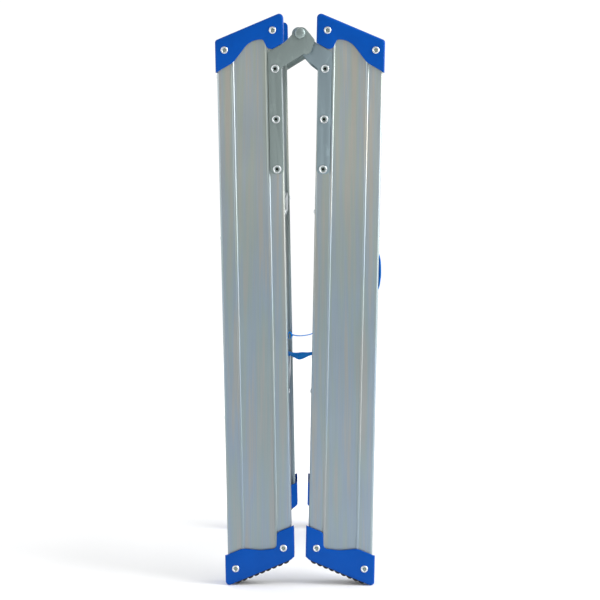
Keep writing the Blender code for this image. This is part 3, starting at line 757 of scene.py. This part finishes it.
def ribbon(path, depth, start_length, tucked=0):
    """A woven strip along a path in X and Z, with thin selvedges and its own weave map. Its last rings
    can be thinner, to sit tucked inside the next piece."""
    across = ((0.0, 0.0003), (0.0007, 0.0007), (0.004, 0.0008), (0.0085, 0.0008), (0.0125, 0.0008),
              (0.0165, 0.0008), (0.021, 0.0008), (0.0243, 0.0007), (STRAP_WIDTH, 0.0003))
    slimmer = [(0.0004 + v * (1 - 0.0008 / STRAP_WIDTH), half * 0.6) for v, half in across]
    work = bmesh.new()
    weave = work.loops.layers.uv.new("weave")
    rings, lengths, length = [], [], start_length
    for index, spot in enumerate(path):
        normal = across_path(path, index)[1]
        length += (spot - path[index - 1]).length if index else 0.0
        lengths.append(length)
        profile = slimmer if index >= len(path) - tucked else across
        ring = []
        for sign in (1, -1):
            for v, half in profile[::sign]:
                place = spot + normal * half * sign
                x, z = place.x - edge_swing(spot.x, v), place.y + edge_lift(depth, spot.x, v)
                ring.append((work.verts.new((x, near_edge(depth) + v, z)), v))
        rings.append(ring)
    for index, (one, two) in enumerate(zip(rings, rings[1:])):
        for a in range(len(one)):
            b = (a + 1) % len(one)
            face = work.faces.new((one[a][0], one[b][0], two[b][0], two[a][0]))
            corners = ((index, one[a][1]), (index, one[b][1]),
                       (index + 1, two[b][1]), (index + 1, two[a][1]))
            for loop, (row, v) in zip(face.loops, corners):
                loop[weave].uv = (lengths[row], v)
    for ring in (rings[0], rings[-1]):
        work.faces.new([vert for vert, _ in ring])
    bmesh.ops.recalc_face_normals(work, faces=work.faces)
    return work, length


def stitches(path, depth, offset):
    """Rows of stitches along both edges and across a strap, standing on one of its faces."""
    along, across = (0.0009, 0.00028, 0.00028), (0.00028, 0.0009, 0.00028)
    last = len(path) - 1
    edges = (STITCH_INSET, STRAP_WIDTH - STITCH_INSET)
    rows = [(index, v, along) for index in range(last + 1) for v in edges]
    rows += [(index, STITCH_INSET + STITCH_PITCH * number, across) for index in (0, last)
             for number in range(1, 9)]
    work = bmesh.new()
    for index, v, size in rows:
        spot = path[index]
        tangent, normal = across_path(path, index)
        made = bmesh.ops.create_icosphere(work, subdivisions=1, radius=1.0)["verts"]
        bmesh.ops.scale(work, vec=size, verts=made)
        lean = Matrix.Rotation(-math.atan2(tangent.y, tangent.x), 4, "Y")
        centre = spot + normal * offset
        height = centre.y + edge_lift(depth, spot.x, v)
        place = Matrix.Translation((centre.x, near_edge(depth) + v, height)) @ lean
        bmesh.ops.transform(work, matrix=place, verts=made)
    return work


# A strap's line in X and Z from the left bracket round the slack loop to the right one: the tail and
# the turn round a bracket, then the stretches that bend over each knuckle.
GAP_LINES = {
    "near": ((-0.0180, 0.3441), (-0.0112, 0.3418), (-0.0028, 0.3395), (0.0069, 0.3409), (0.0181, 0.3434)),
    "far": ((-0.0180, 0.3334), (-0.0124, 0.3317), (-0.0040, 0.3311), (0.0059, 0.3321), (0.0166, 0.3350)),
}
SLACK_LINE = ((0.0330, 0.3440), (0.0480, 0.3560), (0.0640, 0.3775), (0.0800, 0.3990), (0.0950, 0.4170),
              (0.1085, 0.4320), (0.1168, 0.4430), (0.1198, 0.4582), (0.1203, 0.4700), (0.1195, 0.4850),
              (0.1168, 0.4948), (0.1122, 0.4980), (0.1065, 0.4940), (0.0960, 0.4760), (0.0830, 0.4480),
              (0.0690, 0.4215), (0.0560, 0.4040), (0.0440, 0.3880), (0.0330, 0.3722), (0.0262, 0.3600))
# Each stretch: its name, its bodies, the CAD links it stands for, its last point, and the knuckle it
# bends at with the way the strap runs there.
STRETCHES = (
    ("hang", ("left_half", "strap_link_1"), (1,), 2, (-0.0188, 0.3463), (0.95, -0.31)),
    ("dip", ("strap_link_1", "strap_link_2"), (2,), 7, (0.0380, 0.3460), (0.90, 0.44)),
    ("rise", ("strap_link_2", "strap_link_3"), (3,), 9, (0.0800, 0.3990), (0.63, 0.78)),
    ("lead", ("strap_link_3",), (), 12, None, None),
    ("crest", ("strap_link_4", "strap_link_5"), (4, 5), 18, (0.1105, 0.4872), (-1.0, 0.0)),
    ("fall", ("strap_link_5", "strap_link_6"), (), 21, (0.0690, 0.4215), (-0.55, -0.84)),
    ("end", ("strap_link_6", "right_half"), (6,), None, (0.0236, 0.3553), (-0.60, -0.80)),
)


def bracket_turn(side_name, depth_name, turns):
    """The points of a strap's turn round its bracket, listed from the gap side."""
    low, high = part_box(f"strap_bracket_{side_name}_{depth_name}")
    middle, toward_gap = (low + high) / 2, -SIDES[side_name]
    half_height = (high.z - low.z) / 2
    return [Vector((middle.x + toward_gap * dx, middle.z + turns * dz * half_height))
            for dx, dz in ((0.0023, 0.35), (0.0023, -0.75), (0.0, -1.35), (-0.0023, -0.75),
                           (-0.0023, 0.75), (0.0, 1.35))]


def strap_ends(depth_name):
    """A strap's tail and turn at its left bracket, and its turn and tail at its right one."""
    gap_line = [Vector(point) for point in GAP_LINES[depth_name][:2]]
    left_tail = [gap_line[0].lerp(gap_line[1], share) - Vector((0.0, 0.0018)) for share in (0.35, 0.0)]
    right_tail = [Vector(point) + Vector((-0.0016, 0.0010)) for point in SLACK_LINE[:-4:-1]]
    left_turn = bracket_turn("left", depth_name, 1)
    right_turn = bracket_turn("right", depth_name, -1)[::-1]
    return (smooth_path(left_tail + left_turn + [gap_line[0]])[:-1],
            smooth_path([SLACK_LINE[-1]] + right_turn + right_tail))


def strap_piece(name, work, material):
    """Put one piece of a strap in the scene, with no body yet."""
    piece = bpy.data.objects.new(name, to_mesh(work, name))
    bpy.context.scene.collection.objects.link(piece)
    piece.data.materials.append(MATERIALS[material])
    return piece


def bend_over(piece):
    """Bake a strap piece's placement into its mesh; it is not blended between the bodies at its knuckle and
    rides on no body.
    """
    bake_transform(piece)


def make_strap(depth_name, depth):
    left_end, right_end = strap_ends(depth_name)
    main = smooth_path(GAP_LINES[depth_name] + SLACK_LINE)
    seams = {"hang": (main[1:2 * PATH_STEPS:2], depth, SEAM_RISE),
             "end": (main[-1 - PATH_STEPS:-2], depth, -SEAM_RISE)}
    first, length = 0, 0.0
    for name, bodies, links, last, knuckle, heading in STRETCHES:
        stop = last * PATH_STEPS + 1 if last else len(main)
        path = main[first:stop]
        if name == "hang":
            path = left_end + path
        if name == "end":
            path = path[:-1] + right_end
        tucked = TUCKED_STEPS if name == "lead" else 0
        work, length = ribbon(path + main[stop:stop + tucked], depth, length, tucked)
        full_name = f"strap_{depth_name}_{name}"
        strip = strap_piece(full_name, work, "webbing")
        smooth(strip, 50.0)
        if links:
            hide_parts(*[f"strap_{depth_name}_{link}" for link in links])
        pieces = [strip]
        if name in seams:
            seam = strap_piece(full_name + "_stitches", stitches(*seams[name]), "thread")
            seam.data.shade_smooth()
            pieces.append(seam)
        for piece in pieces:
            if knuckle is None:
                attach(piece, bodies[0])
            else:
                bend_over(piece)
        first = stop - 1


# ---------------------------------------------------------------- build

for side_name, side in SIDES.items():
    for level_name in ("lower", "middle", "top"):
        make_tread(side_name, level_name)
    for depth_name, depth in DEPTHS.items():
        make_rail(side_name, side, depth_name, depth)
        make_caps(side_name, side, depth_name, depth)
        make_sole(side_name, side, depth_name, depth)
        make_hinge_plate(side_name, depth_name)
        make_plate_rivets(side_name, side, depth_name, depth)
        dress(f"strap_bracket_{side_name}_{depth_name}", MATERIALS["zinc"])
    make_tread_rivets(side_name, side)
for depth_name, depth in DEPTHS.items():
    make_hinge_pin(depth_name, depth)
    make_strap(depth_name, depth)


# ---------------------------------------------------------------- stage, light and camera

def make_floor():
    work = bmesh.new()
    bmesh.ops.create_grid(work, x_segments=2, y_segments=2, size=2.6)
    floor = bpy.data.objects.new("floor", to_mesh(work, "floor"))
    bpy.context.scene.collection.objects.link(floor)
    material, shader = new_material("floor_pale", 0.9)
    shader.inputs["Base Color"].default_value = (0.93, 0.93, 0.93, 1.0)
    floor.data.materials.append(material)


def area_light(name, place, size, power):
    data = bpy.data.lights.new(name, "AREA")
    data.shape = "RECTANGLE"
    data.size, data.size_y = size
    data.energy = power
    light = bpy.data.objects.new(name, data)
    light.location = place
    light.rotation_euler = (LADDER_MIDDLE - Vector(place)).to_track_quat("-Z", "Y").to_euler()
    bpy.context.scene.collection.objects.link(light)


def make_world():
    """A plain white surround, dimmer in front of the ladder so that its metal reads as grey."""
    world = bpy.data.worlds.new("studio")
    world.use_nodes = True
    tree = world.node_tree
    background = tree.nodes["Background"]
    background.inputs["Color"].default_value = (1.0, 1.0, 1.0, 1.0)
    coords = tree.nodes.new("ShaderNodeTexCoord")
    split = tree.nodes.new("ShaderNodeSeparateXYZ")
    brightness = tree.nodes.new("ShaderNodeMapRange")
    for socket, value in (("From Min", -1.0), ("From Max", 0.6), ("To Min", 0.44), ("To Max", 1.05)):
        brightness.inputs[socket].default_value = value
    tree.links.new(coords.outputs["Generated"], split.inputs["Vector"])
    tree.links.new(split.outputs["Y"], brightness.inputs["Value"])
    tree.links.new(brightness.outputs["Result"], background.inputs["Strength"])
    bpy.context.scene.world = world


def make_camera():
    data = bpy.data.cameras.new("camera")
    data.sensor_width = 36.0
    data.lens = 117.7
    data.shift_y = -0.07
    camera = bpy.data.objects.new("camera", data)
    camera.location = (0.0328, -3.0853, 0.7363)
    aim = Vector((0.0, -0.2, 0.4912)) - camera.location
    camera.rotation_euler = aim.to_track_quat("-Z", "Y").to_euler()
    bpy.context.scene.collection.objects.link(camera)
    bpy.context.scene.camera = camera


bpy.context.scene.view_settings.view_transform = "Standard"
make_floor()
make_world()
area_light("key", (2.4, -0.7, 1.6), (2.0, 2.6), 100.0)
area_light("fill", (-2.4, -1.2, 1.2), (1.6, 2.2), 14.0)
area_light("back", (-1.2, 2.6, 2.0), (2.0, 1.6), 30.0)
make_camera()
